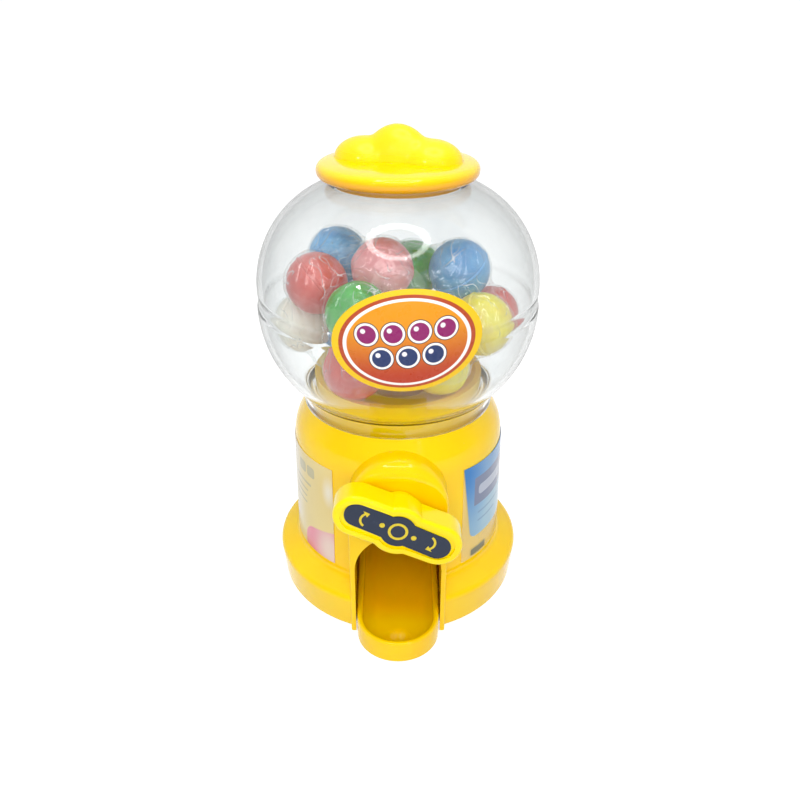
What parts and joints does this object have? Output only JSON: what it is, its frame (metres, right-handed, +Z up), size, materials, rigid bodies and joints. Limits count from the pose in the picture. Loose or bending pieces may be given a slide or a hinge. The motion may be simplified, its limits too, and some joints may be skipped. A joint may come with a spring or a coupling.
{
  "type": "toy gumball machine",
  "caption": "Toy gumball machine: a clear globe of gumballs on a round base, with a wing knob that turns a dispensing drum, an arched chute with a tray, and a lift-off lid.",
  "frame": {"origin": "on the globe's axis, at the surface that the base stands on", "axes": "+Z up along the globe's axis, -Y to the front with the knob and the chute, +X to the right seen from the front"},
  "size_m": [0.0754, 0.0843, 0.1324],
  "materials": {
    "yellow_plastic": "moulded yellow plastic, glossy",
    "clear_plastic": "clear colourless plastic, glossy",
    "oval_film": "printed self-adhesive film, glossy",
    "blue_film": "printed clear film, glossy",
    "peach_film": "printed clear film, glossy",
    "plate_print": "printed dark blue film, satin",
    "screw_steel": "zinc-plated steel",
    "gumball_red": "sugar shell, satin",
    "gumball_blue": "sugar shell, satin",
    "gumball_green": "sugar shell, satin",
    "gumball_yellow": "sugar shell, satin",
    "gumball_pink": "sugar shell, satin",
    "gumball_white": "sugar shell, satin"
  },
  "bodies": {
    "base": {"pedestal": "yellow_plastic", "bottom_cover": "yellow_plastic", "cover_screws": "screw_steel", "chute_tray": "yellow_plastic", "tray_screws": "screw_steel", "hopper": "yellow_plastic", "drum_cradle": "yellow_plastic", "cradle_screws": "screw_steel", "globe_bowl": "clear_plastic", "globe_dome": "clear_plastic", "globe_label": "oval_film", "left_label": "peach_film", "right_label": "blue_film", "gumballs_red": "gumball_red", "gumballs_blue": "gumball_blue", "gumballs_green": "gumball_green", "gumballs_yellow": "gumball_yellow", "gumballs_pink": "gumball_pink", "gumballs_white": "gumball_white"},
    "dispenser": {"dispensing_drum": "yellow_plastic", "knob": "yellow_plastic", "knob_plate": "plate_print", "knob_screw": "screw_steel"},
    "lid": {"lid": "yellow_plastic"}
  },
  "joints": [
    {"name": "knob_turn", "type": "hinge", "parent": "base", "child": "dispenser", "pos_m": [0, 0, 0.0426], "axis": [0, 1, 0], "continuous": true},
    {"name": "lid_lift", "type": "slide", "parent": "base", "child": "lid", "axis": [0, 0, 1], "range_m": [0, 0.045]}
  ]
}
